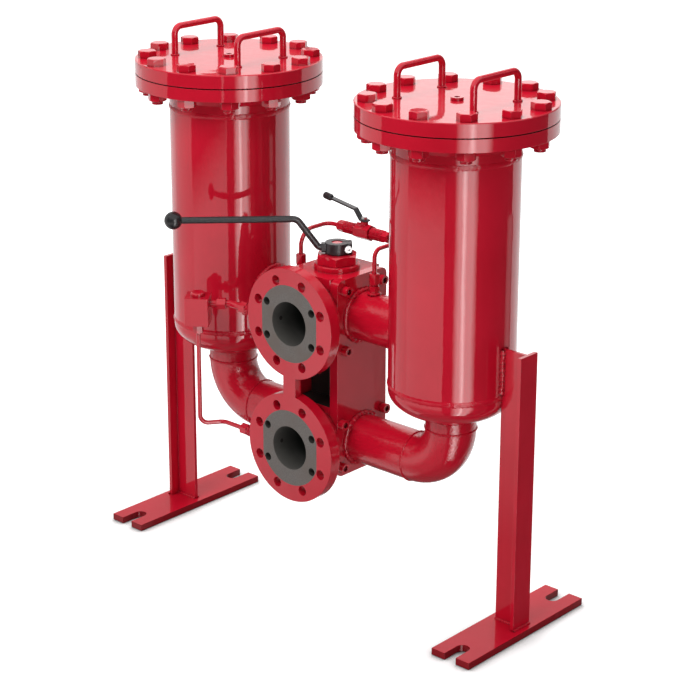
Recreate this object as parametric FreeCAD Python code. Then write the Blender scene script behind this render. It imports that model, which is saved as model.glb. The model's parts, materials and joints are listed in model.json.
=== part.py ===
import FreeCAD, Part
import math
import os

# Duplex strainer: two flanged vessels on legs, joined by a changeover valve.
# Millimetres. X runs across the vessels, the ports look towards -Y, Z is up.
# The origin is on the floor, in the middle of the outline seen from above.

# Vessels
vessel_spacing = 530.0
vessel_dia = 219.1
vessel_wall = 6.3
head_depth = 52.0
head_tangent_z = 410.0
flange_dia = 340.0
flange_thick = 22.0
flange_neck_height = 21.0
flange_neck_swell = 8.0
cover_thick = 24.0
cover_top_z = 914.0
cover_edge_chamfer = 1.5
gasket_thick = 2.0
gasket_width = 22.0

# Cover fasteners
cover_bolt_circle = 295.0
cover_bolt_count = 12
cover_bolt_dia = 20.0
cover_bolt_clearance = 1.0
bolt_head_flats = 30.0
bolt_head_height = 12.5
nut_height = 16.0
bolt_overrun = 6.0
nut_thread_gap = 0.3
hex_chamfer = 1.6

# Cover handles and vent plug
handle_rod_dia = 12.0
handle_offset = 80.0
handle_span = 116.0
handle_height = 58.0
handle_bend = 15.0
vent_plug_dia = 22.0
vent_plug_height = 5.0
vent_thread_dia = 17.0
vent_socket_flats = 9.0
vent_socket_depth = 4.0

# Valve body and its ports
upper_port_z = 495.0
lower_port_z = 262.5
port_reach = 125.0
port_flange_dia = 200.0
port_flange_thick = 22.0
port_bore_dia = 80.0
port_bore_depth = 42.0
port_bolt_circle = 160.0
port_bolt_count = 8
port_bolt_hole_dia = 18.0
tapped_pitch_x = 106.4
tapped_pitch_z = 61.9
tapped_hole_dia = 14.0
tapped_hole_depth = 18.0
neck_dia = 134.0
passage_dia = 68.0
block_width = 84.0
block_front = 65.0
block_back = 65.0
block_top_z = 570.0
block_bottom_z = 203.0
block_corner = 3.0
ball_cavity_dia = 107.0
web_width = 29.0
web_thick = 15.0
hollow_height = 92.0
hollow_depth = 42.0
collar_dia = 82.0
collar_height = 10.0
collar_chamfer = 2.0

# Side plates and their screws
side_plate_thick = 18.0
side_plate_corner = 13.0
upper_screw_y = 47.0
upper_screw_z = 55.0
lower_screw_y = 55.5
lower_screw_z = 41.5
screw_dia = 12.0
screw_head_dia = 18.0
screw_socket_flats = 10.0
screw_socket_depth = 6.5
screw_depth = 20.0
screw_hole_gap = 0.75
thread_gap = 0.1

# Changeover balls, stems and gland
ball_dia = 104.0
ball_pole_cut = 4.0
seat_gap = 0.3
seat_outer_dia = 92.0
seat_pocket_depth = 6.0
seat_height = 17.0
stem_dia = 20.0
running_gap = 0.06
stem_top_z = 616.0
stem_shoulder_dia = 30.0
stem_shoulder_height = 3.0
tongue_width = 12.0
tongue_length = 30.0
tongue_depth = 8.0
slot_gap = 0.3
packing_dia = 36.0
packing_ring_height = 7.0
packing_ring_count = 2
gland_flats = 68.0
gland_nut_height = 17.0
gland_nut_chamfer = 3.0
gland_bore_gap = 0.4

# Changeover lever
lever_angle = -135.0
hub_dia = 43.0
hub_height = 19.0
hub_lift = 1.2
hub_lug_reach = 26.5
hub_lug_width = 24.0
hub_slot = 2.4
hub_boss_reach = 28.0
hub_boss_width = 16.0
clamp_screw_reach = 19.0
clamp_screw_dia = 6.0
clamp_head_dia = 13.0
clamp_head_height = 6.0
clamp_head_gap = 0.4
clamp_socket_flats = 5.0
lever_rod_dia = 12.0
lever_socket_depth = 9.0
lever_rise_start = 32.5
lever_rise_end = 71.0
lever_rod_z = 660.0
lever_foot_bend = 8.0
lever_bend = 15.0
lever_reach = 288.0
knob_dia = 32.0
knob_socket_depth = 14.0

# Pipes between valve and vessels
pipe_dia = 88.9
pipe_wall = 4.0
elbow_radius = 76.2

# Strainer baskets
seat_ring_z = 432.0
seat_ring_thick = 8.0
seat_ring_bore_dia = 118.0
basket_dia = 138.0
basket_wall = 3.0
basket_cap_thick = 4.0
basket_spigot_dia = 116.0
basket_spigot_length = 12.0
basket_ring_height = 14.0
basket_rows = 5
basket_columns = 8
basket_rib_width = 9.0
mesh_wall = 1.5
mesh_gap = 0.4
bail_rod_dia = 8.0
bail_half_span = 38.0
bail_height = 36.0
bail_bend = 12.0
bail_clearance = 4.0

# Legs and base plates
leg_web_thick = 6.0
leg_flange_width = 45.0
leg_flange_thick = 7.0
leg_depth = 53.5
leg_top_z = 508.0
base_length = 320.0
base_width = 80.0
base_thick = 12.0
base_slot_width = 24.0
base_slot_depth = 46.0

# Equalizing line
tube_dia = 8.0
tube_wall = 1.2
line_tap_x = 88.0
line_z = 620.0
line_back = 73.0
left_line_bend = 30.0
right_line_bend = 15.0
corner_bend = 15.0
tap_boss_dia = 18.0
tap_boss_height = 6.0
fitting_flats = 17.0
fitting_hex_height = 10.0
fitting_waist_height = 3.0
fitting_nut_height = 19.0
fitting_waist_dia = 13.0
mini_valve_length = 121.0
mini_end_nut_length = 15.0
mini_end_flats = 19.0
mini_body_dia = 26.0
mini_body_length = 34.0
mini_neck_dia = 19.0
mini_bore_dia = 7.0
mini_ball_dia = 14.0
mini_ball_gap = 0.3
mini_bonnet_dia = 14.0
mini_bonnet_height = 20.0
mini_stem_dia = 6.0
mini_nut_flats = 10.0
mini_nut_height = 5.0
mini_lever_width = 11.0
mini_lever_thick = 3.0
mini_lever_hub_dia = 17.0
mini_lever_rise = 17.0
mini_lever_run = 22.0
mini_lever_reach = 94.0
mini_lever_end_rise = 29.0
mini_grip_dia = 13.0
mini_grip_length = 20.0

# Differential pressure indicator
indicator_width = 44.0
indicator_height = 52.0
indicator_turn = 37.0
indicator_x = -202.0
indicator_front = 150.0
indicator_lower_run = 26.0
indicator_z = 483.0
indicator_corner = 1.5
indicator_cap_dia = 26.0
indicator_cap_height = 7.0
indicator_pipe_dia = 13.0
indicator_pipe_bend = 10.0
indicator_nut_flats = 19.0
indicator_nut_length = 17.0
indicator_nut_offset = 13.0
indicator_boss_dia = 18.0
indicator_boss_length = 12.0
indicator_end_nut_length = 16.0
indicator_tube_bend = 16.0

# Worked out from the sizes above
vessel_x = vessel_spacing / 2
vessel_r = vessel_dia / 2
cover_under_z = cover_top_z - cover_thick
flange_top_z = cover_under_z - gasket_thick
flange_under_z = flange_top_z - flange_thick
shell_top_z = flange_under_z - flange_neck_height
nut_under_z = flange_under_z - nut_height
first_bolt = 180.0 / cover_bolt_count
side_plate_x = block_width / 2 + side_plate_thick
elbow_x = vessel_x - elbow_radius
elbow_top_z = lower_port_z + elbow_radius
collar_top_z = block_top_z + collar_height
gland_top_z = collar_top_z + gland_nut_height
hub_under_z = gland_top_z + hub_lift
hub_mid_z = hub_under_z + hub_height / 2
hollow_mid_z = (upper_port_z + lower_port_z) / 2
ball_pole_z = upper_port_z + ball_dia / 2 - ball_pole_cut
leg_inner_x = vessel_x + vessel_r
leg_outer_x = leg_inner_x + leg_depth
base_mid_x = (leg_inner_x + leg_outer_x) / 2
pipe_top_z = upper_port_z + pipe_dia / 2
basket_z = seat_ring_z + seat_ring_thick
basket_top_z = cover_under_z - bail_clearance - bail_height - basket_cap_thick
front_reach = lever_reach * math.sin(math.radians(-lever_angle)) + knob_dia / 2
axis_y = (front_reach - flange_dia / 2) / 2
port_y = axis_y - port_reach

Z = FreeCAD.Vector(0, 0, 1)
X = FreeCAD.Vector(1, 0, 0)
Y = FreeCAD.Vector(0, 1, 0)


def vec(x, y, z):
    return FreeCAD.Vector(x, y, z)


def box(x0, x1, y0, y1, z0, z1):
    return Part.makeBox(x1 - x0, y1 - y0, z1 - z0, vec(x0, y0, z0))


def cylinder(radius, start, along, length):
    return Part.makeCylinder(radius, length, start, along)


def cone(radius_start, radius_end, start, along, length):
    return Part.makeCone(radius_start, radius_end, length, start, along)


def tube(outer, inner, start, along, length):
    return cylinder(outer, start, along, length).cut(cylinder(inner, start, along, length))


def fuse(shapes):
    whole = shapes[0].multiFuse(shapes[1:]) if len(shapes) > 1 else shapes[0]
    return whole.removeSplitter()


def hexagon(flats, start, along, length, turn=0.0):
    """A hexagonal prism of the given width across flats."""
    corner = flats / 2 / math.cos(math.pi / 6)
    points = [
        vec(corner * math.cos(math.radians(60 * i + turn)), corner * math.sin(math.radians(60 * i + turn)), 0)
        for i in range(7)
    ]
    prism = Part.Face(Part.makePolygon(points)).extrude(vec(0, 0, length))
    prism.Placement = FreeCAD.Placement(start, FreeCAD.Rotation(Z, along))
    return prism


def chamfered_hexagon(flats, start, along, length, chamfer, turn=0.0):
    """A nut or bolt head: the corners of its far end are turned down."""
    corner = flats / 2 / math.cos(math.pi / 6)
    reach = vec(along.x, along.y, along.z).normalize()
    straight = cylinder(corner + 1, start, along, length - chamfer)
    crown_start = start + reach * (length - chamfer)
    crown = cone(corner, corner - 1.9 * chamfer, crown_start, along, chamfer)
    return hexagon(flats, start, along, length, turn).common(straight.fuse(crown))


def rounded_path(points, radii):
    """A wire through the points whose corners are arcs that meet their runs smoothly."""
    edges = []
    last = points[0]
    for i in range(1, len(points) - 1):
        back = (points[i - 1] - points[i]).normalize()
        ahead = (points[i + 1] - points[i]).normalize()
        half = back.getAngle(ahead) / 2
        reach = radii[i - 1] / math.tan(half)
        middle = (back + ahead).normalize()
        centre = points[i] + middle * (radii[i - 1] / math.sin(half))
        start = points[i] + back * reach
        end = points[i] + ahead * reach
        if (start - last).Length > 1e-6:
            edges.append(Part.LineSegment(last, start).toShape())
        edges.append(Part.Arc(start, centre - middle * radii[i - 1], end).toShape())
        last = end
    edges.append(Part.LineSegment(last, points[-1]).toShape())
    return Part.Wire(edges)


def bent_rod(radius, points, radii):
    """A round rod along a rounded path."""
    path = rounded_path(points, radii)
    start = (points[1] - points[0]).normalize()
    section = Part.Wire(Part.Circle(points[0], start, radius).toShape())
    return path.makePipeShell([section], True, False)


def bent_tube(outer, inner, points, radii):
    """An open tube along a rounded path."""
    return bent_rod(outer, points, radii).cut(bent_rod(inner, points, radii))


def ring_of(shape, count, centre_x, first):
    """Copies of a shape turned about a vessel's axis."""
    turned = []
    for i in range(count):
        one = shape.copy()
        one.rotate(vec(centre_x, axis_y, 0), Z, first + 360.0 * i / count)
        turned.append(one)
    return turned


def mirrored(shape):
    return shape.mirror(vec(0, 0, 0), X)


nodes = {}


def add(name, shape):
    nodes[name] = shape


def add_pair(name, right):
    """A piece on the right vessel and its mirror image on the left one."""
    add("right_" + name, right)
    add("left_" + name, mirrored(right))


# Vessels


def head_profile(radius, depth, z):
    """The quarter ellipse from the shell's wall to the pole of the dished end."""
    ellipse = Part.Ellipse(vec(radius, 0, z), vec(0, 0, z - depth), vec(0, 0, z))
    return Part.ArcOfEllipse(ellipse, 0, math.pi / 2).toShape()


def head_solid(radius, depth):
    """The space inside a shell of the given radius, with its dished end."""
    arc = head_profile(radius, depth, head_tangent_z)
    edges = [
        arc,
        Part.LineSegment(vec(0, 0, head_tangent_z - depth), vec(0, 0, shell_top_z)).toShape(),
        Part.LineSegment(vec(0, 0, shell_top_z), vec(radius, 0, shell_top_z)).toShape(),
        Part.LineSegment(vec(radius, 0, shell_top_z), vec(radius, 0, head_tangent_z)).toShape(),
    ]
    face = Part.Face(Part.Wire(Part.__sortEdges__(edges)))
    solid = face.revolve(vec(0, 0, 0), Z, 360)
    solid.translate(vec(vessel_x, axis_y, 0))
    return solid


def vessel_shell():
    outer = head_solid(vessel_r, head_depth)
    inner = head_solid(vessel_r - vessel_wall, head_depth - vessel_wall)
    pipe_bore = pipe_dia / 2 - pipe_wall
    side_hole = cylinder(pipe_bore, vec(elbow_x - vessel_r, axis_y, upper_port_z), X, elbow_radius + vessel_r)
    end_hole = cylinder(pipe_bore, vec(vessel_x, axis_y, lower_port_z), Z, head_tangent_z - lower_port_z)
    return outer.cut(inner).cut(side_hole).cut(end_hole)


def vessel_flange():
    """A welding neck flange with the bolt holes between its neck and rim."""
    bore = vessel_r - vessel_wall
    disc = cylinder(flange_dia / 2, vec(vessel_x, axis_y, flange_under_z), Z, flange_thick)
    start = vec(vessel_x, axis_y, shell_top_z)
    neck = cone(vessel_r, vessel_r + flange_neck_swell, start, Z, flange_neck_height)
    body = disc.fuse(neck).cut(cylinder(bore, start, Z, flange_top_z - shell_top_z))
    hole = cylinder(
        cover_bolt_dia / 2 + cover_bolt_clearance,
        vec(vessel_x + cover_bolt_circle / 2, axis_y, flange_under_z),
        Z,
        flange_thick,
    )
    return body.cut(Part.makeCompound(ring_of(hole, cover_bolt_count, vessel_x, first_bolt)))


def cover_plate():
    """The blind flange that closes a vessel, with a tapped hole for the vent plug."""
    disc = cylinder(flange_dia / 2, vec(vessel_x, axis_y, cover_under_z), Z, cover_thick)
    rim = [e for e in disc.Edges if e.Closed and abs(e.BoundBox.ZMin - cover_top_z) < 1e-6]
    disc = disc.makeChamfer(cover_edge_chamfer, rim)
    hole = cylinder(
        cover_bolt_dia / 2 + cover_bolt_clearance,
        vec(vessel_x + cover_bolt_circle / 2, axis_y, cover_under_z),
        Z,
        cover_thick,
    )
    vent = cylinder(vent_thread_dia / 2, vec(vessel_x, axis_y, cover_under_z), Z, cover_thick)
    return disc.cut(Part.makeCompound(ring_of(hole, cover_bolt_count, vessel_x, first_bolt) + [vent]))


def cover_bolts():
    place = vec(vessel_x + cover_bolt_circle / 2, axis_y, cover_top_z)
    head = chamfered_hexagon(bolt_head_flats, place, Z, bolt_head_height, hex_chamfer, 15)
    end_z = nut_under_z - bolt_overrun
    shank = cylinder(cover_bolt_dia / 2, vec(place.x, place.y, end_z), Z, cover_top_z - end_z)
    return Part.makeCompound(ring_of(fuse([head, shank]), cover_bolt_count, vessel_x, first_bolt))


def cover_nuts():
    place = vec(vessel_x + cover_bolt_circle / 2, axis_y, flange_under_z)
    body = chamfered_hexagon(bolt_head_flats, place, Z * -1, nut_height, hex_chamfer, 15)
    bore = cylinder(cover_bolt_dia / 2 + nut_thread_gap, place, Z * -1, nut_height)
    return Part.makeCompound(ring_of(body.cut(bore), cover_bolt_count, vessel_x, first_bolt))


def cover_handles():
    """Two bent rods that stand on the cover and run from front to back."""
    half = handle_span / 2
    top = cover_top_z + handle_height - handle_rod_dia / 2
    handles = []
    for side in (-1, 1):
        x = vessel_x + side * handle_offset
        points = [
            vec(x, axis_y - half, cover_top_z),
            vec(x, axis_y - half, top),
            vec(x, axis_y + half, top),
            vec(x, axis_y + half, cover_top_z),
        ]
        handles.append(bent_rod(handle_rod_dia / 2, points, [handle_bend, handle_bend]))
    return Part.makeCompound(handles)


def vent_plug():
    place = vec(vessel_x, axis_y, cover_top_z)
    head = cylinder(vent_plug_dia / 2, place, Z, vent_plug_height)
    thread = cylinder(vent_thread_dia / 2 - thread_gap, place, Z * -1, cover_thick)
    socket_start = place + Z * (vent_plug_height - vent_socket_depth)
    socket = hexagon(vent_socket_flats, socket_start, Z, vent_socket_depth)
    return fuse([head, thread]).cut(socket)


def cover_gasket():
    outer = cover_bolt_circle / 2 - cover_bolt_dia / 2 - cover_bolt_clearance - gasket_thick
    return tube(outer, outer - gasket_width, vec(vessel_x, axis_y, flange_top_z), Z, gasket_thick)


def seat_ring():
    """The ledge inside a vessel that the basket stands on."""
    bore = vessel_r - vessel_wall
    return tube(bore, seat_ring_bore_dia / 2, vec(vessel_x, axis_y, seat_ring_z), Z, seat_ring_thick)


add_pair("vessel", vessel_shell())
add_pair("vessel_flange", vessel_flange())
add_pair("cover", cover_plate())
add_pair("cover_bolts", cover_bolts())
add_pair("cover_nuts", cover_nuts())
add_pair("cover_handles", cover_handles())
add_pair("vent_plug", vent_plug())
gasket = cover_gasket()
add("cover_gaskets", Part.makeCompound([gasket, mirrored(gasket)]))
ledge = seat_ring()
add("basket_seat_rings", Part.makeCompound([ledge, mirrored(ledge)]))


# Strainer baskets


def basket_cage():
    """The windowed wall that carries the mesh."""
    outer = basket_dia / 2
    wall_z = basket_z + basket_wall
    wall_height = basket_top_z - wall_z
    wall = tube(outer, outer - basket_wall, vec(vessel_x, axis_y, wall_z), Z, wall_height)
    row_height = (wall_height - 2 * basket_ring_height) / basket_rows
    cuts = []
    for row in range(basket_rows):
        z0 = wall_z + basket_ring_height + row * row_height + basket_rib_width / 2
        z1 = z0 + row_height - basket_rib_width
        pitch = math.pi * basket_dia / (2 * basket_columns)
        half = (pitch - basket_rib_width) / 2
        for column in range(basket_columns):
            window = box(vessel_x - outer - 1, vessel_x + outer + 1, axis_y - half, axis_y + half, z0, z1)
            window.rotate(vec(vessel_x, axis_y, 0), Z, 180.0 * column / basket_columns)
            cuts.append(window)
    return wall.cut(Part.makeCompound(cuts))


def basket_foot():
    """The shoulder that rests on the ring in the vessel, and the spigot that centres it."""
    base = vec(vessel_x, axis_y, basket_z)
    bore = basket_spigot_dia / 2 - basket_wall
    shoulder = tube(basket_dia / 2, bore, base, Z, basket_wall)
    spigot = tube(basket_spigot_dia / 2, bore, base - Z * basket_spigot_length, Z, basket_spigot_length)
    return fuse([shoulder, spigot])


def basket_cap():
    """The lid of the basket with the bail that lifts it."""
    cap = cylinder(basket_dia / 2, vec(vessel_x, axis_y, basket_top_z), Z, basket_cap_thick)
    cap_z = basket_top_z + basket_cap_thick
    top = cap_z + bail_height - bail_rod_dia / 2
    bail = bent_rod(
        bail_rod_dia / 2,
        [
            vec(vessel_x - bail_half_span, axis_y, cap_z),
            vec(vessel_x - bail_half_span, axis_y, top),
            vec(vessel_x + bail_half_span, axis_y, top),
            vec(vessel_x + bail_half_span, axis_y, cap_z),
        ],
        [bail_bend, bail_bend],
    )
    return fuse([cap, bail])


def basket_mesh():
    outer = basket_dia / 2 - basket_wall - mesh_gap
    z0 = basket_z + basket_wall
    return tube(outer, outer - mesh_wall, vec(vessel_x, axis_y, z0), Z, basket_top_z - z0)


add_pair("basket_cage", basket_cage())
add_pair("basket_foot", basket_foot())
add_pair("basket_cap", basket_cap())
add_pair("basket_mesh", basket_mesh())


# Valve body


def port(z):
    """A flanged neck that looks to the front."""
    face = vec(0, port_y, z)
    neck_end = axis_y - block_back
    flange = cylinder(port_flange_dia / 2, face, Y, port_flange_thick)
    neck = cylinder(neck_dia / 2, face, Y, neck_end - port_y)
    return flange.fuse(neck)


def port_cuts(z):
    """The bore, its taper down to the ball's passage, and the two bolt patterns."""
    face = vec(0, port_y, z)
    cuts = [cylinder(port_bore_dia / 2, face, Y, port_bore_depth)]
    taper = port_reach - port_bore_depth - ball_cavity_dia / 2
    cuts.append(cone(port_bore_dia / 2, passage_dia / 2, face + Y * port_bore_depth, Y, taper))
    cuts.append(cylinder(passage_dia / 2, face + Y * (port_bore_depth + taper), Y, ball_cavity_dia / 4))
    for i in range(port_bolt_count):
        turn = math.radians((i + 0.5) * 360.0 / port_bolt_count)
        reach = port_bolt_circle / 2
        place = face + vec(reach * math.cos(turn), 0, reach * math.sin(turn))
        cuts.append(cylinder(port_bolt_hole_dia / 2, place, Y, port_flange_thick))
    for side_x in (-1, 1):
        for side_z in (-1, 1):
            place = face + vec(side_x * tapped_pitch_x / 2, 0, side_z * tapped_pitch_z / 2)
            cuts.append(cylinder(tapped_hole_dia / 2, place, Y, tapped_hole_depth))
    return cuts


def screw_places():
    """Height and depth of each side plate screw, the upper four and the lower four."""
    places = []
    for side_y in (-1, 1):
        for side_z in (-1, 1):
            places.append((axis_y + side_y * upper_screw_y, upper_port_z + side_z * upper_screw_z))
            places.append((axis_y + side_y * lower_screw_y, lower_port_z + side_z * lower_screw_z))
    return places


def valve_body():
    half = block_width / 2
    block = box(-half, half, axis_y - block_front, axis_y + block_back, block_bottom_z, block_top_z)
    front = axis_y - block_front
    corners = [
        e
        for e in block.Edges
        if abs(e.BoundBox.ZLength - (block_top_z - block_bottom_z)) < 1e-6
        and abs(e.BoundBox.YMin - front) < 1e-6
    ]
    block = block.makeFillet(block_corner, corners)
    web = box(-web_width / 2, web_width / 2, port_y, port_y + web_thick, lower_port_z, upper_port_z)
    collar_start = vec(0, axis_y, block_top_z)
    collar = cylinder(collar_dia / 2, collar_start, Z, collar_height - collar_chamfer)
    crown_z = collar_start + Z * (collar_height - collar_chamfer)
    crown = cone(collar_dia / 2, collar_dia / 2 - collar_chamfer, crown_z, Z, collar_chamfer)
    body = fuse([block, web, port(upper_port_z), port(lower_port_z), collar, crown])
    cuts = port_cuts(upper_port_z) + port_cuts(lower_port_z)
    for z in (upper_port_z, lower_port_z):
        cuts.append(cylinder(ball_cavity_dia / 2, vec(-half, axis_y, z), X, block_width))
    hollow_low_z = hollow_mid_z - hollow_height / 2
    cuts.append(box(-half, half, front, front + hollow_depth, hollow_low_z, hollow_low_z + hollow_height))
    stem_bore = stem_dia / 2 + running_gap
    cuts.append(cylinder(stem_bore, vec(0, axis_y, lower_port_z), Z, collar_top_z - lower_port_z))
    box_height = packing_ring_count * packing_ring_height + collar_height
    cuts.append(cylinder(packing_dia / 2, vec(0, axis_y, collar_top_z - box_height), Z, box_height))
    for y, z in screw_places():
        for side in (-1, 1):
            start = vec(side * half, y, z)
            cuts.append(cylinder(screw_dia / 2, start, X * -side, screw_depth + thread_gap))
    return body.cut(Part.makeCompound(cuts))


def side_plate():
    """The plate that closes the ball's chamber and carries the pipes of one vessel."""
    inner = block_width / 2
    plate = box(
        inner, side_plate_x, axis_y - block_back, axis_y + block_back, block_bottom_z, block_top_z
    )
    corners = [e for e in plate.Edges if abs(e.BoundBox.XLength - side_plate_thick) < 1e-6]
    plate = plate.makeFillet(side_plate_corner, corners)
    cuts = []
    for z in (upper_port_z, lower_port_z):
        cuts.append(cylinder(passage_dia / 2, vec(inner, axis_y, z), X, side_plate_thick))
        cuts.append(cylinder(seat_outer_dia / 2, vec(inner, axis_y, z), X, seat_pocket_depth))
    for y, z in screw_places():
        cuts.append(cylinder(screw_dia / 2 + screw_hole_gap, vec(inner, y, z), X, side_plate_thick))
    return plate.cut(Part.makeCompound(cuts))


def side_plate_screws():
    screws = []
    for y, z in screw_places():
        face = vec(side_plate_x, y, z)
        head = cylinder(screw_head_dia / 2, face, X, screw_dia)
        socket_start = face + X * (screw_dia - screw_socket_depth)
        socket = hexagon(screw_socket_flats, socket_start, X, screw_socket_depth)
        shank = cylinder(screw_dia / 2 - thread_gap, face, X * -1, side_plate_thick + screw_depth)
        screws.append(head.cut(socket).fuse(shank).removeSplitter())
    return screws


def ball_seats(z):
    """A soft ring in each side plate that the ball turns against."""
    outer_x = block_width / 2 + seat_pocket_depth
    ring = tube(
        seat_outer_dia / 2 - thread_gap,
        passage_dia / 2,
        vec(outer_x - seat_height, axis_y, z),
        X,
        seat_height,
    )
    ball_space = Part.makeSphere(ball_dia / 2 + seat_gap, vec(0, axis_y, z))
    right = ring.cut(ball_space)
    return [right, mirrored(right)]


add("valve_body", valve_body())
add_pair("side_plate", side_plate())
right_screws = side_plate_screws()
add("side_plate_screws", Part.makeCompound(right_screws + [mirrored(s) for s in right_screws]))
add("ball_seats", Part.makeCompound(ball_seats(upper_port_z) + ball_seats(lower_port_z)))


# Balls, stems and gland


def ball(z, two_slots):
    """A ball with an L-shaped passage, open to the front and to the left at rest."""
    centre = vec(0, axis_y, z)
    sphere = Part.makeSphere(ball_dia / 2, centre)
    flat = ball_dia / 2 - ball_pole_cut
    reach = ball_dia / 2
    poles = box(-reach, reach, axis_y - reach, axis_y + reach, z - flat, z + flat)
    sphere = sphere.common(poles)
    front_arm = cylinder(passage_dia / 2, centre, Y * -1, ball_dia)
    left_arm = cylinder(passage_dia / 2, centre, X * -1, ball_dia)
    bend = Part.makeSphere(passage_dia / 2, centre)
    cuts = [front_arm, left_arm, bend]
    half_width = tongue_width / 2
    half_length = tongue_length / 2
    slots = [(z + flat - tongue_depth, z + flat)]
    if two_slots:
        slots.append((z - flat, z - flat + tongue_depth))
    for z0, z1 in slots:
        cuts.append(box(-half_length, half_length, axis_y - half_width, axis_y + half_width, z0, z1))
    return sphere.cut(Part.makeCompound(cuts))


def tongue(z0, z1):
    half_width = tongue_width / 2 - slot_gap
    half_length = tongue_length / 2 - slot_gap
    return box(-half_length, half_length, axis_y - half_width, axis_y + half_width, z0, z1)


def valve_stem():
    """The spindle that carries the lever and drives the upper ball."""
    shoulder = cylinder(stem_shoulder_dia / 2, vec(0, axis_y, ball_pole_z), Z, stem_shoulder_height)
    rod = cylinder(stem_dia / 2, vec(0, axis_y, ball_pole_z), Z, stem_top_z - ball_pole_z)
    key = tongue(ball_pole_z - tongue_depth + slot_gap, ball_pole_z)
    return fuse([rod, shoulder, key])


def link_stem():
    """The stem that turns the lower ball with the upper one."""
    flat = ball_dia / 2 - ball_pole_cut
    low = lower_port_z + flat
    high = upper_port_z - flat
    rod = cylinder(stem_dia / 2, vec(0, axis_y, low), Z, high - low)
    lower_key = tongue(low - tongue_depth + slot_gap, low)
    upper_key = tongue(high, high + tongue_depth - slot_gap)
    return fuse([rod, lower_key, upper_key])


def gland_nut():
    spigot_z = block_top_z
    start = vec(0, axis_y, collar_top_z)
    nut = chamfered_hexagon(gland_flats, start, Z, gland_nut_height, gland_nut_chamfer, 9)
    spigot = cylinder(packing_dia / 2 - thread_gap, vec(0, axis_y, spigot_z), Z, collar_top_z - spigot_z)
    bore = cylinder(stem_dia / 2 + gland_bore_gap, vec(0, axis_y, spigot_z), Z, gland_top_z - spigot_z)
    return fuse([nut, spigot]).cut(bore)


def gland_packing():
    rings = []
    for i in range(packing_ring_count):
        z = block_top_z - (i + 1) * packing_ring_height
        outer = packing_dia / 2 - thread_gap
        rings.append(tube(outer, stem_dia / 2 + running_gap, vec(0, axis_y, z), Z, packing_ring_height))
    return Part.makeCompound(rings)


add("upper_ball", ball(upper_port_z, True))
add("lower_ball", ball(lower_port_z, False))
add("valve_stem", valve_stem())
add("link_stem", link_stem())
add("gland_nut", gland_nut())
add("gland_packing", gland_packing())


# Changeover lever, drawn along +X and then turned to its place


def turned_lever(shape):
    shape.rotate(vec(0, 0, 0), Z, lever_angle)
    shape.translate(vec(0, axis_y, 0))
    return shape


def lever_hub():
    """A clamping hub: a ring with a split lug behind and a socket for the rod in front."""
    ring = cylinder(hub_dia / 2, vec(0, 0, hub_under_z), Z, hub_height)
    lug = box(-hub_lug_reach, 0, -hub_lug_width / 2, hub_lug_width / 2, hub_under_z, hub_under_z + hub_height)
    lug_corners = [
        e
        for e in lug.Edges
        if abs(e.BoundBox.ZLength - hub_height) < 1e-6 and abs(e.BoundBox.XMin + hub_lug_reach) < 1e-6
    ]
    lug = lug.makeFillet(hub_lug_width / 6, lug_corners)
    boss_drop = (hub_height - hub_boss_width) / 2
    boss = box(
        0, hub_boss_reach, -hub_boss_width / 2, hub_boss_width / 2,
        hub_under_z + boss_drop, hub_under_z + hub_height - boss_drop,
    )
    boss_edges = [e for e in boss.Edges if abs(e.BoundBox.XLength - hub_boss_reach) < 1e-6]
    boss = boss.makeFillet(hub_boss_width / 5, boss_edges)
    hub = fuse([ring, lug, boss])
    bore = cylinder(stem_dia / 2 + running_gap, vec(0, 0, hub_under_z), Z, hub_height)
    slot = box(-hub_lug_reach, 0, -hub_slot / 2, hub_slot / 2, hub_under_z, hub_under_z + hub_height)
    socket_start = vec(hub_boss_reach - lever_socket_depth, 0, hub_mid_z)
    socket = cylinder(lever_rod_dia / 2 + running_gap, socket_start, X, lever_socket_depth)
    screw_hole = cylinder(
        clamp_screw_dia / 2 + thread_gap,
        vec(-clamp_screw_reach, -hub_lug_width / 2, hub_mid_z),
        Y,
        hub_lug_width,
    )
    head_start = vec(-clamp_screw_reach, hub_lug_width / 2, hub_mid_z)
    head_space = cylinder(clamp_head_dia / 2 + clamp_head_gap, head_start, Y, hub_dia)
    return turned_lever(hub.cut(Part.makeCompound([bore, slot, socket, screw_hole, head_space])))


def hub_clamp_screw():
    face = vec(-clamp_screw_reach, hub_lug_width / 2, hub_mid_z)
    head = cylinder(clamp_head_dia / 2, face, Y, clamp_head_height)
    socket_start = face + Y * (clamp_head_height / 2)
    socket = hexagon(clamp_socket_flats, socket_start, Y, clamp_head_height / 2)
    shank = cylinder(clamp_screw_dia / 2, face, Y * -1, hub_lug_width)
    return turned_lever(fuse([head.cut(socket), shank]))


def lever_rod():
    points = [
        vec(hub_boss_reach - lever_socket_depth, 0, hub_mid_z),
        vec(lever_rise_start, 0, hub_mid_z),
        vec(lever_rise_end, 0, lever_rod_z),
        vec(lever_reach - knob_dia / 2 + knob_socket_depth, 0, lever_rod_z),
    ]
    return turned_lever(bent_rod(lever_rod_dia / 2, points, [lever_foot_bend, lever_bend]))


def lever_knob():
    sphere = Part.makeSphere(knob_dia / 2, vec(lever_reach, 0, lever_rod_z))
    socket_start = vec(lever_reach - knob_dia / 2 - 1, 0, lever_rod_z)
    socket = cylinder(lever_rod_dia / 2 + running_gap, socket_start, X, knob_socket_depth + 1)
    return turned_lever(sphere.cut(socket))


add("lever_hub", lever_hub())
add("hub_clamp_screw", hub_clamp_screw())
add("lever_rod", lever_rod())
add("lever_knob", lever_knob())


# Pipes


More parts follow.
